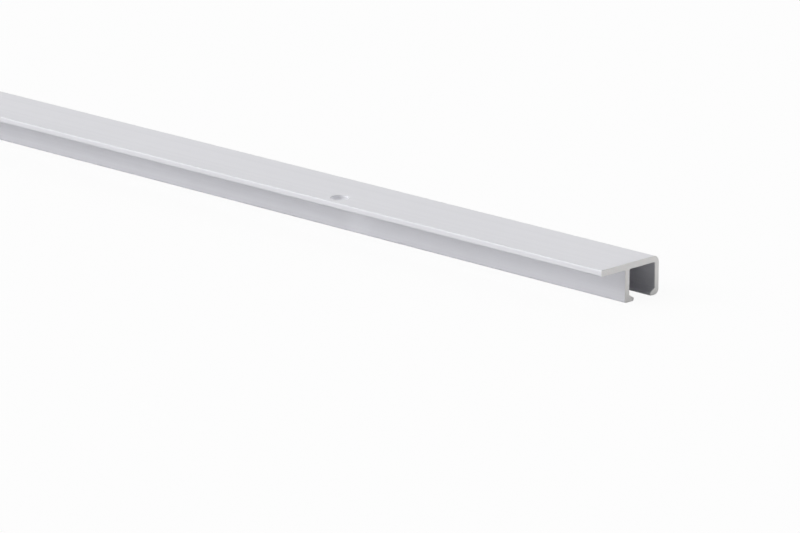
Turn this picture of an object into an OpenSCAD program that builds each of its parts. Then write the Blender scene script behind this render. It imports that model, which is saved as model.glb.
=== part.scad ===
// Extruded aluminium rail: a channel open downwards, with two inward lips and a drilled screw flange.
// Millimetres. X runs along the rail, Y across it, Z up. The rail stands on its lips at Z = 0,
// with the middle of its bounding box over the origin and the screw flange on the -Y side.
// The channel's near wall is the one beside the flange, and its far wall is the one at +Y.

/* [Stock] */
// Length of the piece, sawn square at both ends
rail_length = 1000; // [400:50:3000]

/* [Channel] */
// Width of the channel over its two walls
channel_width = 13; // [12:0.5:18]
// Height of the rail, from the foot of the lips to the top face
rail_height = 10.5; // [9:0.5:16]
// Thickness of the near wall, which stands under the screw flange
near_wall_thickness = 1.7; // [1.2:0.1:2]
// Thickness of the far wall
far_wall_thickness = 1.6; // [1.2:0.1:2]
// Thickness of the top plate, which runs on as the screw flange
plate_thickness = 1.7; // [1.2:0.1:2.2]

/* [Screw flange] */
// Width of the flange outside the channel's near wall
flange_reach = 9; // [8:0.5:14]
// Rounding of both edges at the flange's free side
flange_edge_radius = 0.4; // [0.1:0.1:0.5]

/* [Lips] */
// Width of the mouth between the two lips
mouth_width = 6.2; // [5:0.2:7]
// Height of a lip where it leaves the wall
lip_root_height = 1.9; // [1.7:0.1:2.4]
// Height of a lip at its free edge, so that its upper face slopes
lip_tip_height = 0.8; // [0.7:0.1:1]
// Rounding at the top of a lip's free edge
lip_top_radius = 0.25; // [0.1:0.05:0.3]
// Rounding at the bottom of a lip's free edge
lip_foot_radius = 0.5; // [0.1:0.05:0.5]

/* [Corners] */
// Rounding of the top corner opposite the flange
shoulder_radius = 2; // [0.5:0.25:2.5]
// Rounding at the foot of the far wall
far_foot_radius = 1.5; // [0.5:0.25:2]
// Rounding at the foot of the near wall, under the flange
near_foot_radius = 0.5; // [0.2:0.1:1]
// Fillet in the inner corners that the extrusion die leaves
inner_radius = 0.4; // [0.2:0.1:0.5]

/* [Screw holes] */
// Diameter of the drilled holes
hole_diameter = 5; // [3:0.5:6]
// Distance between neighbouring holes
hole_pitch = 200; // [100:50:400]

/* [Hidden] */
$fn = 64;
overshoot = 0.5;
// Share of its radius by which a rounding arc's centre lies nearer the corner than that of a tangent arc,
// so that the arc and the edges cross cleanly instead of only touching
arc_crossing = 0.004;

rail_width = flange_reach + channel_width;
flange_y = -rail_width / 2;
near_y = flange_y + flange_reach;
far_y = rail_width / 2;
near_inner_y = near_y + near_wall_thickness;
far_inner_y = far_y - far_wall_thickness;
mouth_y = (near_inner_y + far_inner_y) / 2;
near_tip_y = mouth_y - mouth_width / 2;
far_tip_y = mouth_y + mouth_width / 2;
plate_z = rail_height - plate_thickness;

// The row is centred. On a length of whole pitches its first hole is half a pitch from the end,
// so that rails laid end to end keep the pitch.
hole_count = floor(rail_length / hole_pitch);
hole_y = flange_y + flange_reach / 2;

// Corners of the section as [y, z, radius], counterclockwise from the flange's lower edge
outline = [
    [flange_y, plate_z, flange_edge_radius],
    [near_y, plate_z, inner_radius],
    [near_y, 0, near_foot_radius],
    [near_tip_y, 0, lip_foot_radius],
    [near_tip_y, lip_tip_height, lip_top_radius],
    [near_inner_y, lip_root_height, inner_radius],
    [near_inner_y, plate_z, inner_radius],
    [far_inner_y, plate_z, inner_radius],
    [far_inner_y, lip_root_height, inner_radius],
    [far_tip_y, lip_tip_height, lip_top_radius],
    [far_tip_y, 0, lip_foot_radius],
    [far_y, 0, far_foot_radius],
    [far_y, rail_height, shoulder_radius],
    [flange_y, rail_height, flange_edge_radius]
];
corner_count = len(outline);

function point(i) = [outline[i][0], outline[i][1]];
function before(i) = (i + corner_count - 1) % corner_count;
function after(i) = (i + 1) % corner_count;
function unit(v) = v / norm(v);
function to_before(i) = unit(point(before(i)) - point(i));
function to_after(i) = unit(point(after(i)) - point(i));
// Half the angle between the two edges that meet at a corner
function half_angle(i) = acos(to_before(i) * to_after(i)) / 2;
// A corner that sticks out turns left when the outline is walked counterclockwise
function sticks_out(i) = cross(to_after(i), to_before(i)) > 0;

// The sliver between a sharp corner and the arc that rounds it, with its sharp end moved past the corner.
// Its points run counterclockwise too, on a fillet as on an outer corner.
module corner_sliver(i) {
    radius = outline[i][2];
    first_edge = sticks_out(i) ? to_after(i) : to_before(i);
    second_edge = sticks_out(i) ? to_before(i) : to_after(i);
    bisector = unit(first_edge + second_edge);
    arc_centre = point(i) + bisector * radius * (1 - arc_crossing) / sin(half_angle(i));
    tangent_length = radius / tan(half_angle(i));
    difference() {
        polygon([
            point(i) - bisector * overshoot,
            point(i) + first_edge * tangent_length,
            arc_centre,
            point(i) + second_edge * tangent_length
        ]);
        translate(arc_centre)
            circle(r = radius);
    }
}

// The section: a sharp outline that gets its fillets and then loses its outer corners
module rail_section() {
    difference() {
        union() {
            polygon([for (i = [0 : corner_count - 1]) point(i)]);
            for (i = [0 : corner_count - 1])
                if (!sticks_out(i))
                    corner_sliver(i);
        }
        for (i = [0 : corner_count - 1])
            if (sticks_out(i))
                corner_sliver(i);
    }
}

// One row of plain holes through the flange, centred on the rail's length
module screw_holes() {
    for (i = [0 : hole_count - 1])
        translate([(i - (hole_count - 1) / 2) * hole_pitch, hole_y, plate_z - overshoot])
            cylinder(d = hole_diameter, h = plate_thickness + 2 * overshoot);
}

// The one piece: the extruded section with its drilled flange
module rail() {
    color([0.80, 0.80, 0.82])
        difference() {
            rotate([90, 0, 90])
                linear_extrude(height = rail_length, center = true)
                    rail_section();
            screw_holes();
        }
}

rail();
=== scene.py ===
# %% [markdown]
# # An extruded aluminium rail
# The object is one length of raw stock: a small channel that opens downwards,
# with two lips that hold hooks, and a top plate that runs on to one side as a drilled screw flange.
# On the real object a press pushes hot aluminium through a steel die, a drill makes the holes,
# an anodising bath gives the satin grey skin, and a saw cuts the length off last.
# The lesson mixes the finishes first. Then it draws the section, pushes it out, closes the sawn ends,
# drills the flange and gives each face its finish.

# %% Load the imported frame
import math

import bmesh
import bpy
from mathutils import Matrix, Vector


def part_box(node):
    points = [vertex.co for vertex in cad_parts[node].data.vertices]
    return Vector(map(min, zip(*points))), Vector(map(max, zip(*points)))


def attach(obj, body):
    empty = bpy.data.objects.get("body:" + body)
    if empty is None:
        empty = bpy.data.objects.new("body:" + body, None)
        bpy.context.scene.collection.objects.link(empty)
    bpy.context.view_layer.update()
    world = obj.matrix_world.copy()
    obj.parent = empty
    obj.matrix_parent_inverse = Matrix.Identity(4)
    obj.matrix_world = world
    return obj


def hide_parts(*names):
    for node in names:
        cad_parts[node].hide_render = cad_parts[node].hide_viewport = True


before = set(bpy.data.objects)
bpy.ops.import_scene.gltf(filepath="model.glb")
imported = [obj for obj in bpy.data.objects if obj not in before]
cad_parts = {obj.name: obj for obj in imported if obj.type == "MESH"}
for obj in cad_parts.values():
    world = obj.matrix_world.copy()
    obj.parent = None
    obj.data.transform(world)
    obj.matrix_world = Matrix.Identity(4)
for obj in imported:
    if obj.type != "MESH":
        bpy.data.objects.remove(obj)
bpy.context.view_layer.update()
cad_low, cad_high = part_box("rail")
print("CAD box of the rail, metres:", [round(v, 5) for v in cad_low], [round(v, 5) for v in cad_high])

# %% [markdown]
# ## The sizes
# An extruded rail is known by its section, so its sizes come first, each under the name a maker would use.
# They repeat the sizes of the CAD part, because the fine rail made here stands in for that part.
# The last two are too fine for the CAD part: the narrow bevel that a file leaves on a sawn end,
# and the one that a deburring tool leaves on the rim of a drilled hole.
# A mesh has no true arcs, so each rounding of the section is drawn in a number of small steps.

# %% Name the sizes
MM = 0.001
RAIL_SIZES = {
    "Rail Length": 1000 * MM,
    "Channel Width": 13 * MM,
    "Rail Height": 10.5 * MM,
    "Near Wall": 1.7 * MM,
    "Far Wall": 1.6 * MM,
    "Plate": 1.7 * MM,
    "Flange Reach": 9 * MM,
    "Mouth Width": 6.2 * MM,
    "Lip Root Height": 1.9 * MM,
    "Lip Tip Height": 0.8 * MM,
    "Flange Edge Radius": 0.4 * MM,
    "Inner Radius": 0.4 * MM,
    "Near Foot Radius": 0.5 * MM,
    "Lip Foot Radius": 0.5 * MM,
    "Lip Top Radius": 0.25 * MM,
    "Far Foot Radius": 1.5 * MM,
    "Shoulder Radius": 2 * MM,
    "Hole Diameter": 5 * MM,
    "Hole Pitch": 200 * MM,
    "End Bevel": 0.12 * MM,
    "Rim Bevel": 0.14 * MM,
}
ARC_STEPS = 12

finest = min(RAIL_SIZES.values()) / MM
longest = max(RAIL_SIZES.values()) / MM
print(f"{len(RAIL_SIZES)} sizes, from {finest:.2f} to {longest:.0f} mm")

# %% [markdown]
# ## One helper for every node tree
# Shapes and finishes are both built from nodes here. A node is placed, its options are set,
# and each of its inputs gets either a plain value or a wire from another node's output.
# One small function does all three, so that the cells below read like a list of steps.

# %% Place and wire a node
NODE_SPACING = 220


def place(tree, kind, wires=None, **options):
    """Adds a node to a tree, sets its options, and fills its inputs with values or with wires."""
    node = tree.nodes.new(kind)
    node.location = (NODE_SPACING * len(tree.nodes), 0)
    for option, value in options.items():
        setattr(node, option, value)
    for socket, source in (wires or {}).items():
        if isinstance(source, bpy.types.NodeSocket):
            tree.links.new(source, node.inputs[socket])
        else:
            node.inputs[socket].default_value = source
    return node


def calculate(tree, operation, first, second=0.0):
    """Places a Math node and returns its result."""
    return place(tree, "ShaderNodeMath", {0: first, 1: second}, operation=operation).outputs[0]


print("helpers ready")

# %% [markdown]
# ## The marks that tools leave
# Two kinds of mark cover the metal. Drawn lines are the hair-fine streaks that the die leaves
# along the rail, and the skin shows them at two spacings. Cutter lines are the rings that a saw blade
# or a drill leaves where it went through, and both cut finishes show them.
# Each is a shader node group, built once and placed in a finish with that finish's own spacing.
# Both read Object coordinates, which here are metres in the rail's own frame,
# so the marks keep their real size. Drawn lines are noise that is squeezed across the rail
# and stretched along it.

# %% Group for the drawn lines
STREAK_DETAIL = 3.0
STREAK_ROUGHNESS = 0.6


def new_group(name, inputs):
    """Makes a shader node group with the output Lines, and returns it with its input and output nodes."""
    group = bpy.data.node_groups.new(name, "ShaderNodeTree")
    for label, kind in inputs.items():
        group.interface.new_socket(label, in_out="INPUT", socket_type=kind)
    group.interface.new_socket("Lines", in_out="OUTPUT", socket_type="NodeSocketFloat")
    return group, group.nodes.new("NodeGroupInput"), group.nodes.new("NodeGroupOutput")


drawn_lines, given, result = new_group(
    "drawn_lines",
    {"Position": "NodeSocketVector", "Spacing": "NodeSocketFloat", "Run": "NodeSocketFloat"},
)
across = calculate(drawn_lines, "DIVIDE", 1.0, given.outputs["Spacing"])
along = calculate(drawn_lines, "DIVIDE", 1.0, given.outputs["Run"])
stretch = place(drawn_lines, "ShaderNodeCombineXYZ", {"X": along, "Y": across, "Z": across}).outputs[0]
stretched = place(
    drawn_lines,
    "ShaderNodeVectorMath",
    {0: given.outputs["Position"], 1: stretch},
    operation="MULTIPLY",
).outputs[0]
streaks = place(
    drawn_lines,
    "ShaderNodeTexNoise",
    {"Vector": stretched, "Scale": 1.0, "Detail": STREAK_DETAIL, "Roughness": STREAK_ROUGHNESS},
).outputs[0]
drawn_lines.links.new(streaks, result.inputs["Lines"])
print("group", drawn_lines.name, "has", len(drawn_lines.nodes), "nodes")

# %% [markdown]
# Cutter lines come from a Wave Texture set to rings. At a scale of 1 its rings lie tau / 20 apart,
# so that length divided by the wanted spacing gives the scale.
# The rings wander a little, because no cutter runs perfectly true.

# %% Group for the cutter lines
WAVE_LENGTH = math.tau / 20
WANDER_DETAIL = 2.0
WANDER_SCALE = 0.6

cutter_lines, given, result = new_group(
    "cutter_lines",
    {"Position": "NodeSocketVector", "Spacing": "NodeSocketFloat", "Wander": "NodeSocketFloat"},
)
line_scale = calculate(cutter_lines, "DIVIDE", WAVE_LENGTH, given.outputs["Spacing"])
rings = place(
    cutter_lines,
    "ShaderNodeTexWave",
    {
        "Vector": given.outputs["Position"],
        "Scale": line_scale,
        "Distortion": given.outputs["Wander"],
        "Detail": WANDER_DETAIL,
        "Detail Scale": WANDER_SCALE,
    },
    wave_type="RINGS",
    rings_direction="X",
)
cutter_lines.links.new(rings.outputs["Fac"], result.inputs["Lines"])
print("group", cutter_lines.name, "has", len(cutter_lines.nodes), "nodes")

# %% [markdown]
# ## How a finish is mixed
# A finish here is a pattern that does three things to the metal: it tints it, it varies its roughness,
# and it lifts it by thousandths of a millimetre. Each of these is a small helper that ends in one socket
# of the Principled shader. The rail is metal all through, so the shader is fully metallic in every finish.

# %% Helpers for the finishes
FULLY_METALLIC = 1.0


def new_finish(name):
    """Makes a metal finish and returns its material, its tree, its shader and the Object coordinates."""
    material = bpy.data.materials.new(name)
    material.use_nodes = True
    tree = material.node_tree
    shader = tree.nodes["Principled BSDF"]
    shader.inputs["Metallic"].default_value = FULLY_METALLIC
    place_on_rail = place(tree, "ShaderNodeTexCoord").outputs["Object"]
    return material, tree, shader, place_on_rail


def use_group(tree, group, wires):
    """Places a node group in a finish and returns its first output."""
    return place(tree, "ShaderNodeGroup", wires, node_tree=group).outputs[0]


def tint(tree, shader, pattern, deep, pale):
    """Colours the metal from a deep tone, where the pattern is 0, to a pale one, where it is 1."""
    mix = place(tree, "ShaderNodeMix", {"Factor": pattern, "A": deep, "B": pale}, data_type="RGBA")
    tree.links.new(mix.outputs["Result"], shader.inputs["Base Color"])


def roughen(tree, shader, pattern, smooth, rough):
    """Varies the roughness between two values with the pattern."""
    ranged = place(tree, "ShaderNodeMapRange", {"Value": pattern, "To Min": smooth, "To Max": rough})
    tree.links.new(ranged.outputs[0], shader.inputs["Roughness"])


def lift(tree, shader, pattern, depth):
    """Lifts the surface by the pattern, by depth in metres, through a Bump node."""
    bump = place(tree, "ShaderNodeBump", {"Height": pattern, "Distance": depth, "Strength": 1.0})
    tree.links.new(bump.outputs[0], shader.inputs["Normal"])


print("finish helpers ready")

# %% [markdown]
# ## The satin anodised skin
# Before anodising, the bar is etched to an even matt, and the bath then covers it with clear oxide.
# The colour is a cool light grey, and the etching makes the metal rough, so reflections turn to soft tones.
# The die's fine lines and the etched grain roughen and lift the surface.
# The die's broad lines and a slow cloudiness, as from the bath and from hands, tint it,
# and keep a metre of rail from looking printed.

# %% Skin of the rail
SKIN_PALE = (0.84, 0.84, 0.865, 1.0)
SKIN_DEEP = (0.76, 0.76, 0.785, 1.0)
SKIN_SMOOTH = 0.68
SKIN_ROUGH = 0.88
SKIN_DEPTH = 0.004 * MM
FINE_LINES = {"Spacing": 0.12 * MM, "Run": 0.25}
FINE_LINES_SHARE = 0.65
BROAD_LINES = {"Spacing": 1.1 * MM, "Run": 0.9}
BROAD_LINES_SHARE = 0.6
GRAIN_SCALE = 6000.0
CLOUD_SCALE = 18.0
NOISE_DETAIL = 2.0


def noise(tree, position, scale):
    """Places a Noise Texture and returns its grey value."""
    wires = {"Vector": position, "Scale": scale, "Detail": NOISE_DETAIL}
    return place(tree, "ShaderNodeTexNoise", wires).outputs[0]


def blend(tree, first, share, second):
    """Adds two patterns, the first by its share and the second by the rest."""
    kept = calculate(tree, "MULTIPLY", first, share)
    return calculate(tree, "ADD", kept, calculate(tree, "MULTIPLY", second, 1.0 - share))


skin, tree, shader, where = new_finish("satin_anodised_skin")
fine_lines = use_group(tree, drawn_lines, {"Position": where, **FINE_LINES})
broad_lines = use_group(tree, drawn_lines, {"Position": where, **BROAD_LINES})
surface = blend(tree, fine_lines, FINE_LINES_SHARE, noise(tree, where, GRAIN_SCALE))
tone = blend(tree, broad_lines, BROAD_LINES_SHARE, noise(tree, where, CLOUD_SCALE))
tint(tree, shader, tone, SKIN_DEEP, SKIN_PALE)
roughen(tree, shader, surface, SKIN_SMOOTH, SKIN_ROUGH)
lift(tree, shader, surface, SKIN_DEPTH)
print("finish", skin.name, "has", len(tree.nodes), "nodes")

# %% [markdown]
# ## The sawn ends and the drilled holes
# Rails are sawn to length after anodising, so the ends are bare metal: a little warmer than the skin,
# and crossed by shallow arcs from the blade. A saw blade is far wider than the rail,
# so its centre lies well outside the section and the arcs look almost straight.
# The holes are older than the bath, so their walls have the skin's cool film,
# over the level rings that a drill leaves as it feeds down. Their tones are painted paler than the skin's:
# this is painted light, standing in for the light that reaches into the hole.
# Rings about a centre far below the rail look level, so one recipe with two centres makes both finishes.

# %% Recipe for cut metal
def cut_finish(name, deep, pale, smooth, rough, centre, spacing, wander, depth):
    """Makes a cut metal finish, marked by rings about a line along X through the centre."""
    material, tree, shader, where = new_finish(name)
    seat = place(tree, "ShaderNodeMapping", {"Vector": where, "Location": centre}, vector_type="TEXTURE")
    wires = {"Position": seat.outputs[0], "Spacing": spacing, "Wander": wander}
    lines = use_group(tree, cutter_lines, wires)
    tint(tree, shader, lines, deep, pale)
    roughen(tree, shader, lines, smooth, rough)
    lift(tree, shader, lines, depth)
    print("finish", name, "has", len(tree.nodes), "nodes")
    return material


print("recipe for cut metal ready")

# %% Sawn ends
BLADE_CENTRE = (0.0, 60 * MM, -150 * MM)

sawn = cut_finish(
    "sawn_end",
    deep=(0.815, 0.808, 0.80, 1.0),
    pale=(0.895, 0.888, 0.88, 1.0),
    smooth=0.55,
    rough=0.70,
    centre=BLADE_CENTRE,
    spacing=0.25 * MM,
    wander=1.5,
    depth=0.006 * MM,
)

# %% Drilled holes
FAR_BELOW = (0.0, 0.0, -1.0)

bore_painted_bright = cut_finish(
    "drilled_bore_painted_bright",
    # The bore's deep and pale tones are painted light: paler than the skin's film, to stand in for light
    # inside the hole.
    deep=(0.89, 0.89, 0.915, 1.0),
    pale=(0.955, 0.955, 0.975, 1.0),
    smooth=0.70,
    rough=0.90,
    centre=FAR_BELOW,
    spacing=0.3 * MM,
    wander=1.0,
    depth=0.004 * MM,
)

# %% [markdown]
# ## The section as a rule
# The rail could be modelled by hand, but its shape follows a rule: corners in a row,
# each rounded by its own radius, then pushed out.
# That is what Geometry Nodes are good at, so the whole rail is one tree with the sizes as named inputs.
# Change an input and the rail is pressed again from a new die.
# The tree starts with the places of the walls across the rail, worked out from the sizes.

# %% Inputs and places of the walls
press = bpy.data.node_groups.new("rail_press", "GeometryNodeTree")
press.interface.new_socket("Geometry", in_out="INPUT", socket_type="NodeSocketGeometry")
for label, length in RAIL_SIZES.items():
    socket = press.interface.new_socket(label, in_out="INPUT", socket_type="NodeSocketFloat")
    socket.subtype = "DISTANCE"
    socket.default_value = length
socket = press.interface.new_socket("Arc Steps", in_out="INPUT", socket_type="NodeSocketInt")
socket.default_value = ARC_STEPS
press.interface.new_socket("Geometry", in_out="OUTPUT", socket_type="NodeSocketGeometry")
size = place(press, "NodeGroupInput").outputs

rail_width = calculate(press, "ADD", size["Flange Reach"], size["Channel Width"])
far_y = calculate(press, "MULTIPLY", rail_width, 0.5)
flange_y = calculate(press, "MULTIPLY", far_y, -1.0)
near_y = calculate(press, "ADD", flange_y, size["Flange Reach"])
near_inner_y = calculate(press, "ADD", near_y, size["Near Wall"])
far_inner_y = calculate(press, "SUBTRACT", far_y, size["Far Wall"])
mouth_y = calculate(press, "MULTIPLY", calculate(press, "ADD", near_inner_y, far_inner_y), 0.5)
half_mouth = calculate(press, "MULTIPLY", size["Mouth Width"], 0.5)
near_tip_y = calculate(press, "SUBTRACT", mouth_y, half_mouth)
far_tip_y = calculate(press, "ADD", mouth_y, half_mouth)
plate_z = calculate(press, "SUBTRACT", size["Rail Height"], size["Plate"])
print("tree", press.name, "takes", len(RAIL_SIZES), "sizes and the arc steps")

# %% [markdown]
# The section is drawn flat: across the rail to the right, up the rail upwards.
# A circle curve with one point for each corner gives a closed line,
# an Index Switch sends every point to its corner, and Fillet Curve rounds each corner by its own radius.
# The corners run counterclockwise from the lower edge of the flange.

# %% Corners and fillets
ground = 0.0
corners = [
    (flange_y, plate_z, "Flange Edge Radius"),
    (near_y, plate_z, "Inner Radius"),
    (near_y, ground, "Near Foot Radius"),
    (near_tip_y, ground, "Lip Foot Radius"),
    (near_tip_y, size["Lip Tip Height"], "Lip Top Radius"),
    (near_inner_y, size["Lip Root Height"], "Inner Radius"),
    (near_inner_y, plate_z, "Inner Radius"),
    (far_inner_y, plate_z, "Inner Radius"),
    (far_inner_y, size["Lip Root Height"], "Inner Radius"),
    (far_tip_y, size["Lip Tip Height"], "Lip Top Radius"),
    (far_tip_y, ground, "Lip Foot Radius"),
    (far_y, ground, "Far Foot Radius"),
    (far_y, size["Rail Height"], "Shoulder Radius"),
    (flange_y, size["Rail Height"], "Flange Edge Radius"),
]


def pick_by_index(tree, kind, choices):
    """Places an Index Switch that gives each point the choice with its own number."""
    switch = place(tree, "GeometryNodeIndexSwitch", data_type=kind)
    while len(switch.index_switch_items) < len(choices):
        switch.index_switch_items.new()
    tree.links.new(place(tree, "GeometryNodeInputIndex").outputs[0], switch.inputs["Index"])
    for number, choice in enumerate(choices):
        tree.links.new(choice, switch.inputs[number + 1])
    return switch.outputs[0]


corner_points = [place(press, "ShaderNodeCombineXYZ", {"X": y, "Y": z}).outputs[0] for y, z, _ in corners]
corner_place = pick_by_index(press, "VECTOR", corner_points)
corner_radius = pick_by_index(press, "FLOAT", [size[name] for _, _, name in corners])
ring = place(press, "GeometryNodeCurvePrimitiveCircle", {"Resolution": len(corners)}, mode="RADIUS")
sharp = place(press, "GeometryNodeSetPosition", {"Geometry": ring.outputs[0], "Position": corner_place})
rounded = place(
    press,
    "GeometryNodeFilletCurve",
    {"Curve": sharp.outputs[0], "Count": size["Arc Steps"], "Radius": corner_radius, "Limit Radius": True},
    mode="POLY",
).outputs[0]
print("section with", len(corners), "corners")

# %% [markdown]
# ## Push it out and saw it
# The press pushes the section straight out, so the side walls are the outline extruded along the length.
# A sawn end is never quite sharp: a file takes the burr off. So the outline starts a little inside itself,
# grows to full size over the width of the bevel, runs the length, and shrinks again at the other end.
# Each step is one Extrude Mesh node, which pushes on the edge that the step before it left in front.

# %% Walls in steps
def moved_by(tree, vector, amount, rise):
    """A vector times an amount, plus a rise along the press."""
    wires = {0: vector, "Scale": amount}
    scaled = place(tree, "ShaderNodeVectorMath", wires, operation="SCALE").outputs[0]
    raised = place(tree, "ShaderNodeCombineXYZ", {"Z": rise}).outputs[0]
    return place(tree, "ShaderNodeVectorMath", {0: scaled, 1: raised}, operation="ADD").outputs[0]


def side_walls(tree, start, outwards, steps):
    """Extrudes a closed curve in steps, each of which grows outwards by one size and rises by another."""
    walls = place(tree, "GeometryNodeCurveToMesh", {"Curve": start}).outputs[0]
    leading_edge = None
    for growth, rise in steps:
        offset = moved_by(tree, outwards, growth, rise)
        wires = {"Mesh": walls, "Offset": offset, "Offset Scale": 1.0}
        if leading_edge:
            wires["Selection"] = leading_edge
        pushed = place(tree, "GeometryNodeExtrudeMesh", wires, mode="EDGES")
        walls = pushed.outputs["Mesh"]
        leading_edge = pushed.outputs["Top"]
    # The extruded faces look inwards, so they are turned round.
    return place(tree, "GeometryNodeFlipFaces", {"Mesh": walls}).outputs[0]


print("walls ready")

# %% [markdown]
# To grow, every point of the outline needs to know which way is outwards: the direction along the curve,
# turned a quarter. It is stored on the points, because the mesh made from the curve no longer knows it.
# Two filled outlines close the ends, and Merge by Distance welds them on.

# %% A closed solid from an outline
UP_THE_PRESS = (0.0, 0.0, 1.0)
WELD = 0.001 * MM


def store_outwards(tree, outline):
    """Stores the outward direction on an outline, and returns the outline and the stored direction."""
    heading = place(tree, "GeometryNodeInputTangent").outputs[0]
    wires = {0: heading, 1: UP_THE_PRESS}
    turned = place(tree, "ShaderNodeVectorMath", wires, operation="CROSS_PRODUCT").outputs[0]
    stored = place(
        tree,
        "GeometryNodeStoreNamedAttribute",
        {"Geometry": outline, "Name": "outwards", "Value": turned},
        data_type="FLOAT_VECTOR",
        domain="POINT",
    ).outputs[0]
    read = place(tree, "GeometryNodeInputNamedAttribute", {"Name": "outwards"}, data_type="FLOAT_VECTOR")
    return stored, read.outputs[0]


def push_out(tree, outline, first_growth, steps, height):
    """Makes a closed solid from an outline: walls in steps, between two ends of the same size."""
    stored, outwards = store_outwards(tree, outline)
    first_offset = moved_by(tree, outwards, first_growth, 0.0)
    start = place(tree, "GeometryNodeSetPosition", {"Geometry": stored, "Offset": first_offset}).outputs[0]
    end_face = place(tree, "GeometryNodeFillCurve", {"Curve": start}, mode="NGONS").outputs[0]
    lower_end = place(tree, "GeometryNodeFlipFaces", {"Mesh": end_face}).outputs[0]
    to_top = place(tree, "ShaderNodeCombineXYZ", {"Z": height}).outputs[0]
    wires = {"Geometry": end_face, "Translation": to_top}
    upper_end = place(tree, "GeometryNodeTransform", wires).outputs[0]
    joined = place(tree, "GeometryNodeJoinGeometry")
    for part in (side_walls(tree, start, outwards, steps), lower_end, upper_end):
        tree.links.new(part, joined.inputs[0])
    wires = {"Geometry": joined.outputs[0], "Distance": WELD}
    return place(tree, "GeometryNodeMergeByDistance", wires).outputs[0]


print("the press is ready")

# %% Press the bar and lay it along X
QUARTER_TURN = math.pi / 2

bevel = size["End Bevel"]
bevel_back = calculate(press, "MULTIPLY", bevel, -1.0)
both_bevels = calculate(press, "MULTIPLY", bevel, 2.0)
straight_run = calculate(press, "SUBTRACT", size["Rail Length"], both_bevels)
bar_steps = [(bevel, bevel), (0.0, straight_run), (bevel_back, bevel)]
bar = push_out(press, rounded, bevel_back, bar_steps, size["Rail Length"])
half_length = calculate(press, "MULTIPLY", size["Rail Length"], 0.5)
start_x = calculate(press, "MULTIPLY", half_length, -1.0)
to_middle = place(press, "ShaderNodeCombineXYZ", {"X": start_x}).outputs[0]
bar_laid = place(
    press,
    "GeometryNodeTransform",
    {"Geometry": bar, "Translation": to_middle, "Rotation": (QUARTER_TURN, 0.0, QUARTER_TURN)},
).outputs[0]
print("bar in", len(bar_steps), "pushes, its length along X")

# %% [markdown]
# ## Drill the flange
# A drill makes the hole and a deburring tool breaks its two rims. Both cuts are one solid here:
# a circle that starts wide, narrows to the hole's size, runs through the plate and widens again,
# made by the same function as the bar.
# It reaches one bevel past the plate on each side, so that the slanted rims meet the faces cleanly.
# The upright faces of the drill carry a mark, and the boolean hands it on to the wall of the hole.

# %% Drill with its two rims
DRILL_FACETS = 96
# A face counts as upright when its normal points up or down by less than this.
UPRIGHT = 0.5

rim = size["Rim Bevel"]
cone = calculate(press, "MULTIPLY", rim, 2.0)
cone_back = calculate(press, "MULTIPLY", cone, -1.0)
bore_run = calculate(press, "SUBTRACT", size["Plate"], cone)
drill_steps = [(cone_back, cone), (0.0, bore_run), (cone, cone)]
drill_height = calculate(press, "ADD", size["Plate"], cone)
hole_radius = calculate(press, "MULTIPLY", size["Hole Diameter"], 0.5)
circle = place(
    press,
    "GeometryNodeCurvePrimitiveCircle",
    {"Resolution": DRILL_FACETS, "Radius": hole_radius},
    mode="RADIUS",
).outputs[0]
drill = push_out(press, circle, cone, drill_steps, drill_height)
facing = place(press, "GeometryNodeInputNormal").outputs[0]
facing_up = place(press, "ShaderNodeSeparateXYZ", {0: facing}).outputs["Z"]
is_upright = calculate(press, "LESS_THAN", calculate(press, "ABSOLUTE", facing_up), UPRIGHT)
drill_marked = place(
    press,
    "GeometryNodeStoreNamedAttribute",
    {"Geometry": drill, "Name": "is_bored", "Value": is_upright},
    data_type="BOOLEAN",
    domain="FACE",
).outputs[0]
print("drill in", len(drill_steps), "pushes")

# %% [markdown]
# The holes repeat at a fixed pitch, so a row of points carries the drill,
# and one boolean takes them all out.
# The row is centred: on a length of whole pitches the first hole is half a pitch from the end.
# The number of whole pitches is rounded down, with a small tolerance for the error of a division.

# %% Row of holes
COUNT_TOLERANCE = 0.001

pitches = calculate(press, "DIVIDE", size["Rail Length"], size["Hole Pitch"])
hole_count = calculate(press, "FLOOR", calculate(press, "ADD", pitches, COUNT_TOLERANCE))
half_gaps = calculate(press, "MULTIPLY", calculate(press, "SUBTRACT", hole_count, 1.0), -0.5)
first_x = calculate(press, "MULTIPLY", half_gaps, size["Hole Pitch"])
half_flange = calculate(press, "MULTIPLY", size["Flange Reach"], 0.5)
hole_y = calculate(press, "ADD", flange_y, half_flange)
drill_z = calculate(press, "SUBTRACT", plate_z, rim)
first_hole = place(press, "ShaderNodeCombineXYZ", {"X": first_x, "Y": hole_y, "Z": drill_z}).outputs[0]
next_hole = place(press, "ShaderNodeCombineXYZ", {"X": size["Hole Pitch"]}).outputs[0]
row = place(
    press,
    "GeometryNodeMeshLine",
    {"Count": hole_count, "Start Location": first_hole, "Offset": next_hole},
    mode="OFFSET",
).outputs[0]
drills = place(press, "GeometryNodeInstanceOnPoints", {"Points": row, "Instance": drill_marked}).outputs[0]
drilled = place(
    press,
    "GeometryNodeMeshBoolean",
    {0: bar_laid, 1: drills},
    operation="DIFFERENCE",
    solver="EXACT",
).outputs[0]
print("row of holes", RAIL_SIZES["Hole Pitch"] / MM, "mm apart")

# %% [markdown]
# ## Give every face its finish
# The tree ends by making everything one real mesh and setting the materials: skin everywhere,
# bare metal on the sawn ends and the bevels filed on them, and the ringed film where the drill went,
# painted paler than the skin as painted light in the hole.
# Edges that turn sharply stay crisp, and the many small steps of each rounding are shaded smooth.

# %% Smooth shading
CRISP_ANGLE = math.radians(28)

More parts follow.
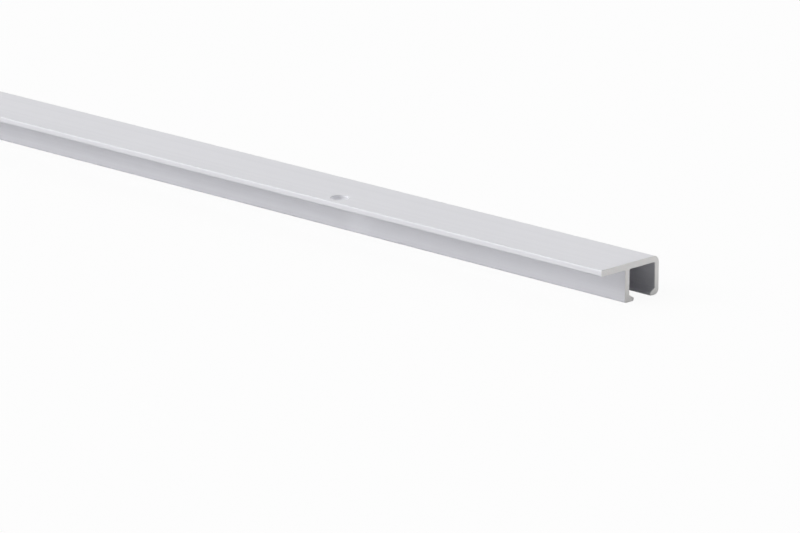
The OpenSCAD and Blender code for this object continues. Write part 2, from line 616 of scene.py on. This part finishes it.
whole = place(press, "GeometryNodeRealizeInstances", {"Geometry": drilled}).outputs[0]
wires = {"Geometry": whole, "Shade Smooth": True}
smooth = place(press, "GeometryNodeSetShadeSmooth", wires, domain="FACE").outputs[0]
angle = place(press, "GeometryNodeInputMeshEdgeAngle").outputs["Unsigned Angle"]
wires = {0: angle, 1: CRISP_ANGLE}
is_crisp = place(press, "FunctionNodeCompare", wires, operation="GREATER_THAN").outputs[0]
wires = {"Geometry": smooth, "Selection": is_crisp, "Shade Smooth": False}
shaded = place(press, "GeometryNodeSetShadeSmooth", wires, domain="EDGE").outputs[0]
print("edges over", round(math.degrees(CRISP_ANGLE)), "degrees stay crisp")

# %% Materials
face_place = place(press, "GeometryNodeInputPosition").outputs[0]
face_x = place(press, "ShaderNodeSeparateXYZ", {0: face_place}).outputs["X"]
from_middle = calculate(press, "ABSOLUTE", face_x)
bevel_start = calculate(press, "SUBTRACT", half_length, bevel)
wires = {0: from_middle, 1: bevel_start}
is_end = place(press, "FunctionNodeCompare", wires, operation="GREATER_THAN").outputs[0]
wires = {"Name": "is_bored"}
is_bored = place(press, "GeometryNodeInputNamedAttribute", wires, data_type="BOOLEAN").outputs[0]
finished = shaded
for finish, chosen in ((skin, None), (sawn, is_end), (bore_painted_bright, is_bored)):
    wires = {"Geometry": finished, "Material": finish}
    if chosen:
        wires["Selection"] = chosen
    finished = place(press, "GeometryNodeSetMaterial", wires).outputs[0]
place(press, "NodeGroupOutput", {0: finished})
print("tree", press.name, "has", len(press.nodes), "nodes")

# %% [markdown]
# ## From tree to plain mesh
# The tree hangs on an empty mesh as a modifier. Its inputs are set through their identifiers,
# then the result is taken as a plain mesh and the modifier goes,
# so that the rail is ordinary geometry from here on.
# Weighted normals make the flat faces shade flat right up to where a rounding starts.

# %% Press the rail
blank = bpy.data.objects.new("rail_blank", bpy.data.meshes.new("rail_blank"))
bpy.context.collection.objects.link(blank)
pressing = blank.modifiers.new("press", "NODES")
pressing.node_group = press
settings = {**RAIL_SIZES, "Arc Steps": ARC_STEPS}
for item in press.interface.items_tree:
    if item.in_out == "INPUT" and item.name in settings:
        pressing[item.identifier] = settings[item.name]
weighting = blank.modifiers.new("flat faces stay flat", "WEIGHTED_NORMAL")
weighting.keep_sharp = True
depsgraph = bpy.context.evaluated_depsgraph_get()
rail_mesh = bpy.data.meshes.new_from_object(
    blank.evaluated_get(depsgraph),
    preserve_all_data_layers=True,
    depsgraph=depsgraph,
)
bpy.data.objects.remove(blank)
# The bar had no material before the last step, and that leaves an empty slot, which goes.
while None in list(rail_mesh.materials):
    rail_mesh.materials.pop(index=list(rail_mesh.materials).index(None))
rail = bpy.data.objects.new("rail_body", rail_mesh)
bpy.context.collection.objects.link(rail)
print("rail:", len(rail_mesh.vertices), "points,", len(rail_mesh.polygons), "faces")

# %% [markdown]
# A mesh that is going to be used elsewhere is worth measuring. Every edge has to join two faces,
# and the volume has to be close to the CAD part's, a little less because of the fine bevels.

# %% Measure the rail
CAD_VOLUME_MM3 = 69590

for number, finish in enumerate(rail_mesh.materials):
    face_count = sum(face.material_index == number for face in rail_mesh.polygons)
    print(finish.name, "on", face_count, "faces")
measured = bmesh.new()
measured.from_mesh(rail_mesh)
volume = measured.calc_volume(signed=True) / MM**3
open_edges = sum(not edge.is_manifold for edge in measured.edges)
measured.free()
print(f"volume {volume:.0f} mm3 against {CAD_VOLUME_MM3} in CAD, {open_edges} open edges")

# %% [markdown]
# The fine rail now takes the place of the CAD part: it rides on the frame's one body,
# and it keeps the name of the finish that the part's record gives.

# %% Put it on the frame
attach(rail, "root")
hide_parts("rail")
print(rail.name, "stands for the CAD rail")

# %% [markdown]
# ## Floor, light and camera
# A white studio floor carries the rail. The camera sees it as plain white with a small share of matt paper,
# so that the rail still leaves a soft shadow on it. The world behind is the same white to the camera.
# Metal lives from what it reflects, so reflected rays get a small share of that white as well.

# %% White of the studio
WHITE = (1.0, 1.0, 1.0, 1.0)


def white_share(tree, seen_share, reflected_share):
    """How white the studio looks: one share for the camera, one for rays that metal or glass sends on."""
    ray = place(tree, "ShaderNodeLightPath").outputs
    sent_on = calculate(tree, "MAXIMUM", ray["Is Glossy Ray"], ray["Is Transmission Ray"])
    seen = calculate(tree, "MULTIPLY", ray["Is Camera Ray"], seen_share)
    reflected = calculate(tree, "MULTIPLY", sent_on, reflected_share)
    return calculate(tree, "MAXIMUM", seen, reflected)


print("studio white ready")

# %% Floor
FLOOR_HALF = 40.0
FLOOR_DROP = 0.02 * MM
FLOOR_WHITE_SEEN = 0.93
FLOOR_WHITE_REFLECTED = 0.03
PAPER_GREY = (0.9, 0.9, 0.9, 1.0)

floor_mesh = bpy.data.meshes.new("studio_floor")
signs = ((-1, -1), (1, -1), (1, 1), (-1, 1))
floor_corners = [(x * FLOOR_HALF, y * FLOOR_HALF, -FLOOR_DROP) for x, y in signs]
floor_mesh.from_pydata(floor_corners, [], [(0, 1, 2, 3)])
floor = bpy.data.objects.new("studio_floor", floor_mesh)
bpy.context.collection.objects.link(floor)

paper = bpy.data.materials.new("white_paper")
paper.use_nodes = True
tree = paper.node_tree
tree.nodes.clear()
matt = place(tree, "ShaderNodeBsdfDiffuse", {"Color": PAPER_GREY}).outputs[0]
glow = place(tree, "ShaderNodeEmission", {"Color": WHITE, "Strength": 1.0}).outputs[0]
share = white_share(tree, FLOOR_WHITE_SEEN, FLOOR_WHITE_REFLECTED)
mixed = place(tree, "ShaderNodeMixShader", {0: share, 1: matt, 2: glow}).outputs[0]
place(tree, "ShaderNodeOutputMaterial", {"Surface": mixed})
floor_mesh.materials.append(paper)
print("floor", 2 * FLOOR_HALF, "m wide")

# %% World
WORLD_WHITE_SEEN = 1.0
WORLD_WHITE_REFLECTED = 0.05
WORLD_FILL = 0.03

world = bpy.data.worlds.new("studio_white")
bpy.context.scene.world = world
world.use_nodes = True
tree = world.node_tree
tree.nodes.clear()
share = white_share(tree, WORLD_WHITE_SEEN, WORLD_WHITE_REFLECTED)
level = calculate(tree, "MAXIMUM", share, WORLD_FILL)
sky = place(tree, "ShaderNodeBackground", {"Color": WHITE, "Strength": level}).outputs[0]
place(tree, "ShaderNodeOutputWorld", {"Surface": sky})
print("world white to the camera, fill", WORLD_FILL)

# %% [markdown]
# Four soft lamps stand round the rail, as in a photographer's light tent.
# The key comes from high on the camera's left, over the flange, so the wall below stays in half shade,
# and a little of it falls through each screw hole. A low lamp on the same side lifts the foot of that wall.
# One from the right lights the sawn end, and one from behind lays a slant of light over the top plate.
# Each is a distant lamp with a wide angle: its shadows are as soft as a softbox's,
# and the whole metre gets the same light.

# %% Four soft lamps
# For each lamp: the direction in which its light travels, its angle in degrees and its strength
SOFT_LAMPS = {
    "key": ((2.0, 4.35, -5.0), 52, 1.64),
    "low_left": ((0.80, 0.58, -0.22), 50, 1.52),
    "right": ((-0.77, -0.61, -0.52), 60, 0.82),
    "behind": ((0.70, -0.71, -0.50), 60, 1.21),
}

for name, (travel, angle_deg, strength) in SOFT_LAMPS.items():
    lamp = bpy.data.lights.new(name, "SUN")
    lamp.angle = math.radians(angle_deg)
    lamp.energy = strength
    stand = bpy.data.objects.new(name, lamp)
    stand.rotation_euler = Vector(travel).to_track_quat("-Z", "Y").to_euler()
    bpy.context.collection.objects.link(stand)
    print("lamp", name, "shines along", travel, "at", strength)

# %% [markdown]
# The camera stands where the photograph was taken: a long lens well away from the rail's near end,
# an eighth of a turn round it and a little above, so that the long edges stay almost parallel.

# %% Camera
CAMERA_PLACE = (1.3306, -0.9235, 0.3547)
CAMERA_DIP_DEG = 15.55
CAMERA_TURN_DEG = 44.71
LENS_MM = 225
SENSOR_MM = 36
NEAREST = 0.05
FARTHEST = 200

view = bpy.data.cameras.new("long_lens")
view.lens = LENS_MM
view.sensor_width = SENSOR_MM
view.clip_start = NEAREST
view.clip_end = FARTHEST
camera = bpy.data.objects.new("long_lens", view)
camera.location = CAMERA_PLACE
camera.rotation_euler = (math.radians(90 - CAMERA_DIP_DEG), 0.0, math.radians(CAMERA_TURN_DEG))
bpy.context.collection.objects.link(camera)
bpy.context.scene.camera = camera
bpy.context.scene.view_settings.view_transform = "Standard"
print("camera at", CAMERA_PLACE)
